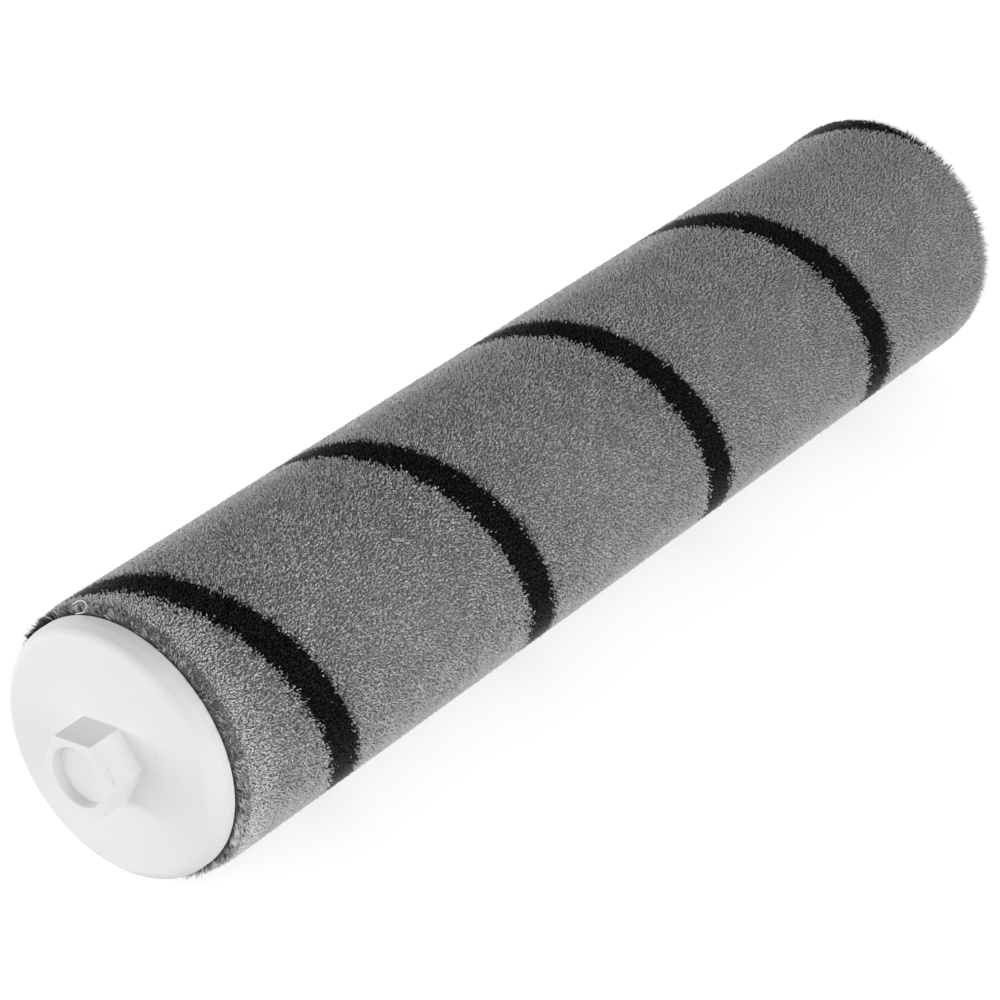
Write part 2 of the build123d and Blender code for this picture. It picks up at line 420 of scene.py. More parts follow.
@dataclass(frozen=True)
class CapEdge:
    """The cap's rounded edge, shaded as the real one: a cone with a soft inner edge, in metres."""

    inner_radius: float = 20.15 * MM
    edge_radius: float = 3.0 * MM
    entry: float = math.radians(34.0)
    lean: float = math.radians(71.0)
    softness: float = 2.8 * MM
    wall_start: float = -107.75 * MM
    wall_length: float = 1.85 * MM
    steepest: float = 0.995

    def height(self, graph: Graph) -> bpy.types.NodeSocket:
        """Works out how far the cone stands off the round edge.

        Args:
            graph: the material's tree.

        Returns:
            The height in metres.
        """
        where = graph.place()
        radius = graph.add("VectorMath")
        radius.operation = "LENGTH"
        graph.join(graph.off_axis(where), radius.inputs["Vector"])
        share = graph.add("MapRange", From_Min=self.inner_radius, To_Max=self.steepest,
                          From_Max=self.inner_radius + self.edge_radius)
        graph.join(radius.outputs["Value"], share.inputs["Value"])
        turn = graph.count("ARCSINE", share.outputs["Result"])
        face = graph.count("DIVIDE", self.edge_radius, graph.count("COSINE", turn))
        reach = self.edge_radius * math.cos(self.entry - self.lean) / math.cos(self.entry)
        aslant = graph.count("COSINE", graph.count("SUBTRACT", turn, self.lean))
        cone = graph.count("DIVIDE", reach, aslant)
        axes = graph.add("SeparateXYZ")
        graph.join(where, axes.inputs["Vector"])
        wall = graph.add("MapRange", From_Min=self.wall_start, From_Max=self.wall_start + self.wall_length,
                         To_Max=self.wall_length / math.tan(self.lean))
        graph.join(axes.outputs["X"], wall.inputs["Value"])
        edge = graph.count("SMOOTH_MIN", face, cone, self.softness)
        return graph.count("ADD", edge, wall.outputs["Result"])


@dataclass(frozen=True)
class PlasticFinish:
    """A moulded plastic with a faint grain and slow changes of tone."""

    name: str
    colour: Colour
    roughness: float
    grain: float = 0.25 * MM
    cloud: float = 9.0 * MM
    relief: float = 0.006 * MM
    shift: float = 0.02
    gloss: float = 0.5
    marks: tuple[Mark, ...] = ()
    edge: CapEdge | None = None
    rough_swing: float = 0.06

    def material(self) -> bpy.types.Material:
        """Makes the material."""
        graph = Graph(self.name)
        where = graph.place()
        cloud = graph.noise(where, self.cloud)
        low = tuple(part * (1.0 - self.shift) for part in self.colour)
        colour = graph.ramp(cloud, list(zip(NOISE_ENDS, (low, self.colour))))
        for mark in self.marks:
            spot = graph.spot(where, mark.centre, mark.turn, mark.reach)
            colour = graph.times(colour, graph.between(spot, 1.0, 1.0 - mark.depth))
        graph.join(colour, graph.shader.inputs["Base Color"])
        graph.set(Specular_IOR_Level=self.gloss)
        fine = graph.noise(where, self.grain)
        rough = graph.between(fine, self.roughness - self.rough_swing, self.roughness + self.rough_swing)
        graph.join(rough, graph.shader.inputs["Roughness"])
        if self.edge:
            graph.bump(self.edge.height(graph), 1.0)
        graph.bump(fine, self.relief)
        return graph.material


@dataclass(frozen=True)
class MetalFinish:
    """Turned, ground or pressed steel with fine marks round the roller's axis."""

    name: str
    colour: Colour
    roughness: float
    mark: float = 0.15 * MM
    stretch: float = 0.08
    shift: float = 0.14
    smoother: float = 0.07
    rougher: float = 0.1

    def material(self) -> bpy.types.Material:
        """Makes the material."""
        graph = Graph(self.name)
        where = graph.place(Vector((1.0, self.stretch, self.stretch)))
        marks = graph.noise(where, self.mark, 5.0)
        low = tuple(part * (1.0 - self.shift) for part in self.colour)
        colour = graph.ramp(marks, list(zip(NOISE_ENDS, (low, self.colour))))
        graph.join(colour, graph.shader.inputs["Base Color"])
        rough = graph.between(marks, self.roughness - self.smoother, self.roughness + self.rougher)
        graph.join(rough, graph.shader.inputs["Roughness"])
        graph.set(Metallic=1.0)
        return graph.material


@dataclass(frozen=True)
class PileForm:
    """Where the pile lies, in metres. Angles run from +Y towards +Z."""

    axis_height: float
    start: float
    end: float
    radius: float
    inner_radius: float = 18.1 * MM
    bed_radius: float = 24.3 * MM
    bed_near_radius: float = 22.8 * MM
    bed_far_radius: float = 19.4 * MM
    bed_edge_length: float = 3.0 * MM
    edge_radius: float = 3.0 * MM
    pitch: float = 53.4 * MM
    stripe_width: float = 7.1 * MM
    stripe_lead: float = 9.7 * MM
    near_spread: float = 2.2 * MM
    near_spread_length: float = 1.2 * MM
    far_spread: float = 1.6 * MM
    far_spread_length: float = 12.0 * MM
    lead_drift: float = 0.9 * MM
    lead_drift_length: float = 11.0 * MM
    lead_drift_power: int = 4
    cover_span: tuple[float, float] = (0.9 * MM, 2.9 * MM)
    cover_angles: tuple[float, float] = (math.radians(38.0), math.radians(68.0))

    @classmethod
    def from_frame(cls) -> "PileForm":
        """Reads the pile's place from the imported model."""
        low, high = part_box("pile_fabric")
        return cls(axis_height=high.z - high.y, start=low.x, end=high.x, radius=high.y)

    @property
    def length(self) -> float:
        """The pile's length along the axis."""
        return self.end - self.start

    def stripe_offset(self, x: np.ndarray, angle: np.ndarray) -> np.ndarray:
        """Measures how far points lie from the stripe's middle.

        Args:
            x: places along the axis.
            angle: angles round it.

        Returns:
            Signed distances along the axis from the nearest turn of the stripe.
        """
        turns = (x - self.start - self.stripe_lead) / self.pitch - (angle - math.pi / 2) / math.tau
        return (turns - np.round(turns)) * self.pitch

    def in_stripe(self, x: np.ndarray, angle: np.ndarray, blur: np.ndarray) -> np.ndarray:
        """Tells which tips belong to the black strip, which spreads a little at both ends.

        Args:
            x: places along the axis.
            angle: angles round it.
            blur: how far each tip strays along the axis.

        Returns:
            True for each black tip.
        """
        near = (1.0 - (x - self.start) / self.near_spread_length).clip(0.0, 1.0)
        far = (1.0 - (self.end - x) / self.far_spread_length).clip(0.0, 1.0)
        spread = self.near_spread * near + self.far_spread * far
        offset = self.stripe_offset(x, angle)
        lead_in = ((x - offset - self.start) / self.lead_drift_length).clip(0.0, 1.0)
        offset += blur - self.lead_drift * (1.0 - lead_in**self.lead_drift_power)
        inset = x - self.start - blur / 2
        covered = (inset > self.cover_span[0]) & (inset < self.cover_span[1])
        covered &= (angle > self.cover_angles[0]) & (angle < self.cover_angles[1])
        return (offset > -self.stripe_width / 2 - spread) & (offset < self.stripe_width / 2) & ~covered

    def tip_radius(self, x: np.ndarray) -> np.ndarray:
        """Returns the radius of the tips' envelope, which is rounded off at both ends."""
        inset = np.minimum(x - self.start, self.end - x).clip(0.0, self.edge_radius)
        rise = np.sqrt(np.maximum(self.edge_radius**2 - (self.edge_radius - inset) ** 2, 0.0))
        return self.radius - self.edge_radius + rise

    def shoulder_radius(self, x: np.ndarray) -> np.ndarray:
        """Returns the radius of the bed under the fibres, which falls away at both ends."""
        inset = np.minimum(x - self.start, self.end - x).clip(0.0, self.bed_edge_length)
        share = np.sqrt(np.maximum(1.0 - (1.0 - inset / self.bed_edge_length) ** 2, 0.0))
        edge = np.where(x < (self.start + self.end) / 2, self.bed_near_radius, self.bed_far_radius)
        return edge + (self.bed_radius - edge) * share

    def points(self, x: np.ndarray, angle: np.ndarray, radius: np.ndarray) -> np.ndarray:
        """Turns places round the axis into points that stay on or above the floor."""
        height = self.axis_height + radius * np.sin(angle)
        return np.stack([x, radius * np.cos(angle), np.maximum(height, 0.0)], axis=1)


@dataclass
class PileBed:
    """The lower part of one wound strip: backing and dense pile under the free tips."""

    form: PileForm
    strip: Strip
    finish: BedFinish
    steps_per_turn: int = 96
    spare_turns: int = 2
    loop_shares: tuple[float, ...] = (0.06, 0.2, 0.4, 0.65, 1.0)

    def build(self) -> bpy.types.Object:
        """Models the strip from a profile that is wound, cut at both ends and rounded there.

        Returns:
            The strip's object.
        """
        piece = self.profile()
        self.wind(piece)
        self.trim()
        self.round_ends(piece)
        piece.name = f"{self.strip.value}_pile_bed"
        return piece

    def profile(self) -> bpy.types.Object:
        """Makes the strip's section above the axis, as edges alone."""
        form = self.form
        width = form.stripe_width
        middle = form.stripe_lead + form.start
        if self.strip is Strip.GREY:
            width = form.pitch - form.stripe_width
            middle += form.pitch / 2
        middle -= self.spare_turns * form.pitch
        rise = form.bed_radius - form.inner_radius
        deselect()
        bpy.ops.mesh.primitive_plane_add(size=1.0, location=(0.0, 0.0, form.axis_height))
        piece = take_active()
        bpy.ops.object.mode_set(mode="EDIT")
        bpy.ops.transform.rotate(value=math.pi / 2, orient_axis="X", center_override=piece.location)
        bpy.ops.transform.resize(value=(width, 1.0, rise), center_override=piece.location)
        bpy.ops.transform.translate(value=(middle, 0.0, form.inner_radius + rise / 2))
        bpy.ops.mesh.delete(type="ONLY_FACE")
        bpy.ops.object.mode_set(mode="OBJECT")
        return piece

    def wind(self, piece: bpy.types.Object) -> None:
        """Winds the section along the axis, past both ends."""
        turns = math.ceil(self.form.length / self.form.pitch) + 2 * self.spare_turns
        screw = piece.modifiers.new("wind", "SCREW")
        screw.axis = "X"
        screw.angle = math.tau * turns
        screw.screw_offset = self.form.pitch * turns
        screw.steps = screw.render_steps = self.steps_per_turn * turns
        bpy.ops.object.modifier_apply(modifier=screw.name)
        bpy.ops.object.transform_apply(location=True, rotation=True, scale=True)

    def trim(self) -> None:
        """Cuts the winding flush with both ends and adds the loops that the rounding needs."""
        form = self.form
        bpy.ops.object.mode_set(mode="EDIT")
        bpy.ops.mesh.select_all(action="SELECT")
        bpy.ops.mesh.bisect(plane_co=(form.start, 0, 0), plane_no=(1, 0, 0), use_fill=True, clear_inner=True)
        bpy.ops.mesh.select_all(action="SELECT")
        bpy.ops.mesh.bisect(plane_co=(form.end, 0, 0), plane_no=(1, 0, 0), use_fill=True, clear_outer=True)
        for share in self.loop_shares:
            inset = share * form.bed_edge_length
            for x in (form.start + inset, form.end - inset):
                bpy.ops.mesh.select_all(action="SELECT")
                bpy.ops.mesh.bisect(plane_co=(x, 0, 0), plane_no=(1, 0, 0))
        bpy.ops.mesh.select_all(action="SELECT")
        bpy.ops.mesh.normals_make_consistent(inside=False)
        bpy.ops.object.mode_set(mode="OBJECT")

    def round_ends(self, piece: bpy.types.Object) -> None:
        """Pulls the outer corners in, so that the bed falls away under the end fibres."""
        mesh = piece.data
        spots = np.empty(len(mesh.vertices) * 3)
        mesh.vertices.foreach_get("co", spots)
        spots = spots.reshape(-1, 3)
        rise = spots[:, 2] - self.form.axis_height
        radius = np.hypot(spots[:, 1], rise)
        limit = self.form.shoulder_radius(spots[:, 0])
        scale = np.minimum(radius, limit) / radius
        spots[:, 1] *= scale
        spots[:, 2] = self.form.axis_height + rise * scale
        mesh.vertices.foreach_set("co", spots.ravel())
        mesh.update()

    def dress(self, piece: bpy.types.Object) -> None:
        """Gives the strip its finish and its body, and hides the solid that it stands for."""
        piece.data.materials.append(self.finish.material())
        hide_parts(NODE_OF_STRIP[self.strip])
        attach(piece, ROLLER_BODY)


class FibreShape(Enum):
    """Model fibres: a cut one for the dense pile, and a thin one with a knee for the loose ends."""

    CUT = "cut"
    KNEED = "kneed"

    def model(self) -> tuple[np.ndarray, np.ndarray]:
        """Models one fibre of unit height and unit radius, which all fibres copy.

        Returns:
            Its corners, with the root at 0 and the tip at 1 along Z, and its triangles.
        """
        middle = (0.0, 0.0, 0.5)
        knee_swell = 1.5
        cut_height = 0.8
        cut_slant = 0.19
        deselect()
        bpy.ops.mesh.primitive_cone_add(vertices=3, radius1=1.0, radius2=0.0, depth=1.0)
        piece = take_active()
        bpy.ops.object.mode_set(mode="EDIT")
        bpy.ops.transform.translate(value=middle)
        if self is FibreShape.KNEED:
            bpy.ops.mesh.bisect(plane_co=middle, plane_no=(0.0, 0.0, 1.0))
            bpy.ops.transform.resize(value=(knee_swell, knee_swell, 1.0), center_override=middle)
        else:
            bpy.ops.transform.rotate(value=math.pi, orient_axis="X", center_override=middle)
            bpy.ops.mesh.bisect(plane_co=(0.0, 0.0, cut_height), plane_no=(cut_slant, 0.0, 1.0),
                                use_fill=True, clear_outer=True)
        bpy.ops.mesh.select_all(action="SELECT")
        bpy.ops.mesh.quads_convert_to_tris()
        bpy.ops.mesh.normals_make_consistent(inside=False)
        bpy.ops.object.mode_set(mode="OBJECT")
        corners = np.array([vertex.co[:] for vertex in piece.data.vertices])
        triangles = np.array([face.vertices[:] for face in piece.data.polygons])
        discard(piece)
        return corners, triangles


@dataclass
class Fibres:
    """Fibres that are about to become one piece, each with its root, tip, knee and tone."""

    roots: np.ndarray
    tips: np.ndarray
    knees: np.ndarray
    tones: np.ndarray
    thickness: np.ndarray

    def part(self, chosen: np.ndarray) -> "Fibres":
        """Returns only the chosen fibres."""
        return Fibres(self.roots[chosen], self.tips[chosen], self.knees[chosen],
                      self.tones[chosen], self.thickness[chosen])

    def mesh(self, name: str, shape: FibreShape, rng: np.random.Generator) -> bpy.types.Mesh:
        """Copies the model fibre to every place.

        Args:
            name: the mesh's name.
            shape: which model fibre is copied.
            rng: the seeded source of each fibre's turn about itself.

        Returns:
            One mesh of closed fibres with a map of tone across and height up.
        """
        corners, triangles = shape.model()
        count, size = len(self.roots), len(corners)
        axis = self.tips - self.roots
        axis /= np.linalg.norm(axis, axis=1, keepdims=True)
        side = np.cross(axis, np.where(np.abs(axis[:, :1]) < 0.9, [[1.0, 0.0, 0.0]], [[0.0, 1.0, 0.0]]))
        side /= np.linalg.norm(side, axis=1, keepdims=True)
        other = np.cross(axis, side)
        turn = rng.uniform(0.0, math.tau, (count, 1))
        across = side * np.cos(turn) + other * np.sin(turn)
        beside = np.cross(axis, across)
        height = corners[:, 2][None, :, None]
        line = (self.roots[:, None] * (1 - height) ** 2
                + 2 * self.knees[:, None] * height * (1 - height)
                + self.tips[:, None] * height**2)
        body = across[:, None] * corners[None, :, :1] + beside[:, None] * corners[None, :, 1:2]
        spots = line + body * self.thickness[:, None, None]
        spots[:, :, 2] = np.maximum(spots[:, :, 2], 0.0)
        faces = (triangles[None] + size * np.arange(count)[:, None, None]).reshape(-1, 3)
        mesh = bpy.data.meshes.new(name)
        mesh.vertices.add(count * size)
        mesh.vertices.foreach_set("co", spots.astype(np.float32).ravel())
        mesh.loops.add(faces.size)
        mesh.loops.foreach_set("vertex_index", faces.astype(np.int32).ravel())
        mesh.polygons.add(len(faces))
        mesh.polygons.foreach_set("loop_start", np.arange(0, faces.size, 3, dtype=np.int32))
        mesh.polygons.foreach_set("use_smooth", np.ones(len(faces), dtype=bool))
        mesh.update()
        lane = 0.012
        tone = self.tones[:, None] + lane * (corners[None, :, 0] + corners[None, :, 1])
        spot = np.stack([tone, np.broadcast_to(corners[None, :, 2], tone.shape)], axis=2).reshape(-1, 2)
        layer = mesh.uv_layers.new(name=FIBRE_MAP)
        layer.uv.foreach_set("vector", spot[faces.ravel()].astype(np.float32).ravel())
        return mesh


def smooth_field(rng: np.random.Generator, x: np.ndarray, angle: np.ndarray, waves: int, size: float,
                 radius: float) -> np.ndarray:
    """Makes slow random changes over the pile that meet themselves round the roller.

    Args:
        rng: the seeded source.
        x: places along the axis.
        angle: angles round it.
        waves: how many waves are added up.
        size: about how long one wave is, in metres.
        radius: the roller's radius.

    Returns:
        Values of about unit spread, one for each place.
    """
    total = np.zeros_like(x)
    highest = max(1, int(math.tau * radius / size))
    for _ in range(waves):
        around = rng.integers(-highest, highest + 1)
        along = rng.normal(0.0, math.tau / size)
        total += np.sin(around * angle + along * x + rng.uniform(0.0, math.tau))
    return total * math.sqrt(2.0 / waves)


@dataclass
class PileCrop:
    """The free tips of the pile over the whole roller, apart from its two ends."""

    form: PileForm
    finishes: dict[Strip, FibreFinish]
    density: float = 5.7e6
    near_crowd: float = 0.3
    root_radius: float = 24.1 * MM
    thickness: float = 0.2 * MM
    lean: float = 0.2
    sway: float = 0.3
    drop: float = 0.14 * MM
    tip_rise: float = 0.02 * MM
    edge_blur: float = 0.7 * MM
    near_tone_spread: float = 0.36
    far_tone_spread: float = 0.04
    under_calm: float = 0.7
    # Painted light: tips near the near end are made lighter, where the front light catches them, over about
    # this length.
    rim_painted_light: float = 0.65
    rim_painted_light_length: float = 4.8 * MM
    far_tuft: float = 0.6 * MM
    far_tuft_length: float = 9.0 * MM
    parting: tuple[Vector, Vector] = (Vector((98.85, 2.333)), Vector((92.45, 2.529)))
    parting_width: float = 0.3 * MM
    parting_shade: float = 0.3
    lean_drift: float = 0.1
    lean_waves: int = 24
    lean_patch: float = 14 * MM
    tone_drift: float = 0.05
    tone_waves: int = 30
    tone_patch: float = 9 * MM
    thickness_span: tuple[float, float] = (0.75, 1.25)
    end_inset: float = 1.5 * MM
    grey_pieces: int = 4
    seed: int = 7

    def build(self) -> list[bpy.types.Object]:
        """Lays the fibres and parts them into pieces.

        Returns:
            The pieces, grey ones first.
        """
        rng = np.random.default_rng(self.seed)
        x, angle = self.tip_places(rng)
        black = self.form.in_stripe(x, angle, rng.normal(0.0, self.edge_blur, len(x)))
        fibres = self.lay(rng, x, angle, black)
        share = np.searchsorted(np.sort(x), x) / len(x) * self.grey_pieces
        made = []
        for number in range(self.grey_pieces):
            chosen = ~black & (share >= number) & (share < number + 1)
            made.append(self.piece(f"grey_pile_{number + 1}", Strip.GREY, fibres.part(chosen), rng))
        made.append(self.piece("black_pile", Strip.BLACK, fibres.part(black), rng))
        return made

    def tip_places(self, rng: np.random.Generator) -> tuple[np.ndarray, np.ndarray]:
        """Spreads the tips evenly but unevenly enough to show no rows.

        Args:
            rng: the seeded source.

        Returns:
            Places along the axis and angles round it.
        """
        form = self.form
        step = 1.0 / math.sqrt(self.density)
        length = form.length - 2 * self.end_inset
        rows = round(length / step)
        columns = round(math.tau * form.radius / step)
        row, column = np.divmod(np.arange(rows * columns), columns)
        jitter = rng.uniform(-0.5, 0.5, (2, rows * columns))
        along = (row + 0.5 + jitter[0]) / rows
        x = form.start + self.end_inset + length * along * (1.0 - self.near_crowd * (1.0 - along))
        angle = (column + 0.5 * (row % 2) + jitter[1]) * math.tau / columns
        return x, angle

    def lay(self, rng: np.random.Generator, x: np.ndarray, angle: np.ndarray, black: np.ndarray) -> Fibres:
        """Gives every fibre its root, lean and tone.

        Args:
            rng: the seeded source.
            x: the tips' places along the axis.
            angle: the tips' angles.
            black: which tips are black. These stand a little proud near the far end.

        Returns:
            The fibres.
        """
        form = self.form
        count = len(x)
        radius = form.tip_radius(x) - np.abs(rng.normal(0.0, self.drop, count)) + self.tip_rise
        tuft = (1.0 - (form.end - x) / self.far_tuft_length).clip(0.0, 1.0)
        radius += self.far_tuft * black * np.sqrt(tuft)
        reach = radius - self.root_radius
        lean = self.lean + self.sway * rng.normal(size=count)
        lean += self.lean_drift * smooth_field(rng, x, angle, self.lean_waves, self.lean_patch, form.radius)
        swing = self.sway * rng.normal(size=count)
        swing += self.lean_drift * smooth_field(rng, x, angle, self.lean_waves, self.lean_patch, form.radius)
        tips = form.points(x, angle, radius)
        roots = form.points(x - lean * reach, angle - swing * reach / form.radius,
                            np.full(count, self.root_radius))
        along = (x - form.start) / form.length
        tone_spread = self.near_tone_spread + (self.far_tone_spread - self.near_tone_spread) * along
        tone_spread *= 1.0 - self.under_calm * (1.0 - np.sin(angle)) / 2
        tones = 0.5 + tone_spread * rng.normal(size=count)
        tones += self.tone_drift * smooth_field(rng, x, angle, self.tone_waves, self.tone_patch, form.radius)
        # Painted light: a lighter band of tips near the near end.
        tones += self.rim_painted_light * np.exp(-(((x - form.start - self.end_inset) / self.rim_painted_light_length) ** 2))
        tones -= self.parting_shade * (self.parting_distance(x, angle) < self.parting_width)
        thickness = self.thickness * rng.uniform(*self.thickness_span, count)
        return Fibres(roots, tips, (roots + tips) / 2, tones.clip(*TONE_RANGE), thickness)

    def parting_distance(self, x: np.ndarray, angle: np.ndarray) -> np.ndarray:
        """Measures how far tips lie from the short parting near the far end.

        Args:
            x: the tips' places along the axis.
            angle: the tips' angles.

        Returns:
            Distances over the pile's surface.
        """
        start, stop = (np.array((point.x * MM, point.y * self.form.radius)) for point in self.parting)
        run = stop - start
        spots = np.stack([x, angle % math.tau * self.form.radius], axis=1) - start
        share = (spots @ run / (run @ run)).clip(0.0, 1.0)
        return np.linalg.norm(spots - share[:, None] * run, axis=1)

    def piece(self, name: str, strip: Strip, fibres: Fibres, rng: np.random.Generator) -> bpy.types.Object:
        """Makes one piece of fibres and dresses it."""
        return plant(name, strip, fibres.mesh(name, FibreShape.CUT, rng), self.finishes[strip])


@dataclass
class EndFringe:
    """The longer fibres round one end, which splay outwards because nothing stands beside them."""

    form: PileForm
    finishes: dict[Strip, FibreFinish]
    end: End
    density: float = 13.0e6
    band: float = 2.8 * MM
    splay: float = math.radians(38.0)
    least_splay: float = 0.1
    scatter: float = 0.1
    thickness: float = 0.13 * MM
    clump_width: float = 0.6 * MM
    clump_pull: float = 0.75
    clump_fall: float = 0.8 * MM
    clump_shade: float = 0.24
    top_shade: float = 0.1
    top_level: float = 0.45
    tone_spread: float = 0.2
    loose: float = 0.012
    loose_rise: float = 0.3 * MM
    loose_stray: float = 0.05
    stray: float = 0.008
    edge_crowd: float = 1.5
    clump_jitter: tuple[float, float] = (0.1, 0.9)
    root_depth: tuple[float, float] = (0.1 * MM, 0.5 * MM)
    unevenness: float = 0.2 * MM
    knee_share: float = 0.3
    thickness_span: tuple[float, float] = (0.7, 1.3)
    edge_blur: float = 0.7 * MM
    seed: int = 21

    def build(self) -> list[bpy.types.Object]:
        """Lays the fringe and parts it by colour.

        Returns:
            Its grey and its black piece.
        """
        rng = np.random.default_rng(self.seed)
        fibres, black = self.lay(rng)
        made = []
        for strip, chosen in ((Strip.GREY, ~black), (Strip.BLACK, black)):
            name = f"{strip.value}_fringe_{self.end.name.lower()}"
            mesh = fibres.part(chosen).mesh(name, FibreShape.KNEED, rng)
            made.append(plant(name, strip, mesh, self.finishes[strip]))
        return made

    def lay(self, rng: np.random.Generator) -> tuple[Fibres, np.ndarray]:
        """Gives every fibre of the fringe its root, knee, tip and tone.

        Args:
            rng: the seeded source.

        Returns:
            The fibres, and which of them are black.
        """
        form = self.form
        count = int(self.density * math.tau * form.radius * self.band)
        share = rng.uniform(0.0, 1.0, count) ** self.edge_crowd
        angle = rng.uniform(0.0, math.tau, count)
        out = self.end.value
        edge = form.start if self.end is End.NEAR else form.end
        clumps = int(math.tau * form.radius / self.clump_width)
        bounds = (np.arange(clumps) + rng.uniform(*self.clump_jitter, clumps)) * math.tau / clumps
        middles = (bounds + np.roll(bounds, 1) - math.tau * (np.arange(clumps) == 0)) / 2
        clump = np.searchsorted(bounds, angle) % clumps
        toward = (middles[clump] - angle + math.pi) % math.tau - math.pi
        pull = self.clump_pull * rng.uniform(0.0, 1.0, count) * (1.0 - share)
        loose = rng.uniform(0.0, 1.0, count) < self.loose
        stray = np.where(loose, self.loose_stray, self.stray)
        tip_angle = angle + toward * pull + stray * rng.normal(size=count)
        root_x = edge - out * share * self.band
        depth = rng.uniform(*self.root_depth, count)
        root_radius = form.shoulder_radius(root_x) - depth
        splay = (self.splay * rng.uniform(self.least_splay, 1.0, clumps)[clump]) * (1.0 - share)
        splay += rng.normal(0.0, self.scatter, count)
        fall = self.clump_fall * rng.uniform(0.0, 1.0, clumps)[clump] * (1.0 - share)
        tip_radius = form.radius - fall - np.abs(rng.normal(0.0, self.unevenness, count))
        tip_radius += self.loose_rise * loose
        reach = tip_radius - root_radius
        tip_x = root_x + out * reach * np.tan(splay)
        black = form.in_stripe(tip_x, tip_angle, rng.normal(0.0, self.edge_blur, count))
        roots = form.points(root_x, angle, root_radius)
        tips = form.points(tip_x, tip_angle, tip_radius)
        knee_x = root_x * (1.0 - self.knee_share) + tip_x * self.knee_share
        knees = form.points(knee_x, (angle + tip_angle) / 2, (root_radius + tip_radius) / 2)
        tones = 0.5 + self.tone_spread * rng.normal(size=count)
        tones += self.clump_shade * rng.normal(size=clumps)[clump] * (1.0 - share)
        tones -= self.top_shade * (np.sin(angle) - self.top_level)
        tones = np.where(loose, TONE_RANGE[1], tones.clip(*TONE_RANGE))
        thickness = self.thickness * rng.uniform(*self.thickness_span, count)
        return Fibres(roots, tips, knees, tones, thickness), black


@dataclass
class StrayCurl:
    """One loose pale fibre that lies curled on the pile beside the end cap."""

    centre: Vector = Vector((-106.2, 8.5, 47.6)) * MM
    facing: Vector = Vector((-0.55, -0.35, 0.76))
    radius: float = 1.2 * MM
    thickness: float = 0.11 * MM
    turn: float = math.radians(-20.0)

    def build(self) -> bpy.types.Object:
        """Models the curl as an open ring of round section.

        Returns:
            The curl's object.
        """
        deselect()
        bpy.ops.curve.primitive_bezier_circle_add(radius=self.radius)
        piece = take_active()
        piece.name = "stray_curl"
        line = piece.data
        line.splines[0].use_cyclic_u = False
        line.bevel_depth = self.thickness
        line.bevel_resolution = 1
        line.use_fill_caps = True
        lay = self.facing.to_track_quat("Z", "Y")
        piece.rotation_mode = "QUATERNION"
        piece.rotation_quaternion = lay @ Quaternion((0.0, 0.0, 1.0), self.turn)
        piece.location = self.centre
        bpy.ops.object.convert(target="MESH")
        bpy.ops.object.transform_apply(location=True, rotation=True, scale=True)
        return take_active()

    def dress(self, piece: bpy.types.Object, finish: PlasticFinish) -> None:
        """Gives the curl its finish and lets it turn with the roller."""
        piece.data.materials.append(finish.material())
        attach(piece, ROLLER_BODY)


def plant(name: str, strip: Strip, mesh: bpy.types.Mesh, finish: FibreFinish) -> bpy.types.Object:
    """Makes a piece of fibres that stands for its strip and turns with the roller.

    Args:
        name: the piece's name.
        strip: the strip that it belongs to.
        mesh: its fibres.
        finish: their finish.

    Returns:
        The piece's object.
    """
    piece = bpy.data.objects.new(name, mesh)
    bpy.context.scene.collection.objects.link(piece)
    shared = bpy.data.materials.get(finish.name)
    mesh.materials.append(shared or finish.material())
    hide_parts(NODE_OF_STRIP[strip])
    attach(piece, ROLLER_BODY)
    return piece


CAP_MARKS = (
    Mark(Vector((-116.4, -5.95, 27.9)) * MM, math.radians(53.4), Vector((0.3, 0.9, 0.5)) * MM, 0.09),
    Mark(Vector((-116.6, -7.1, 26.4)) * MM, math.radians(53.4), Vector((0.26, 1.0, 0.5)) * MM, 0.14),
    Mark(Vector((-110.75, -10.9, 29.6)) * MM, math.radians(20.0), Vector((1.0, 0.8, 0.45)) * MM, 0.07),
    Mark(Vector((-110.75, -13.65, 42.2)) * MM, 0.0, Vector((1.0, 0.5, 0.4)) * MM, 0.06),
)


@dataclass
class Hardware:
    """The rigid pieces, which keep their own shapes and get their finishes here."""

    cap: PlasticFinish = PlasticFinish("cap_moulding", grey(0.85), 0.55, gloss=0.35, marks=CAP_MARKS,
                                       edge=CapEdge())
    white: PlasticFinish = PlasticFinish("white_moulding", grey(0.85), 0.5, gloss=0.4)
    core: PlasticFinish = PlasticFinish("core_moulding", (0.55, 0.56, 0.57), 0.5)
    nylon: PlasticFinish = PlasticFinish("cage_nylon", (0.62, 0.52, 0.34), 0.45)
    ground: MetalFinish = MetalFinish("ground_steel", (0.62, 0.62, 0.63), 0.24)
    balls: MetalFinish = MetalFinish("ball_steel", (0.7, 0.7, 0.71), 0.12)
    pressed: MetalFinish = MetalFinish("pressed_steel", (0.55, 0.55, 0.56), 0.34)
    spring: MetalFinish = MetalFinish("spring_steel", (0.3, 0.3, 0.32), 0.38)

    def dress(self) -> None:
        """Gives every rigid node its finish."""
        worn = (
            (self.cap, ("end_cap",)),
            (self.white, ("drive_plug", "bearing_plug")),
            (self.core, ("core_tube",)),
            (self.nylon, ("bearing_cage",)),
            (self.ground, ("axle_pin", "bearing_inner_ring", "bearing_outer_ring")),
            (self.balls, ("bearing_balls",)),
            (self.pressed, ("bearing_shield_front", "bearing_shield_rear", "thrust_washer")),
            (self.spring, ("retaining_clip",)),
        )
        for finish, names in worn:
            material = finish.material()
            for name in names:
                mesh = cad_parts[name].data
                mesh.materials.clear()
                mesh.materials.append(material)
                LOG.info("%s wears %s", name, finish.name)


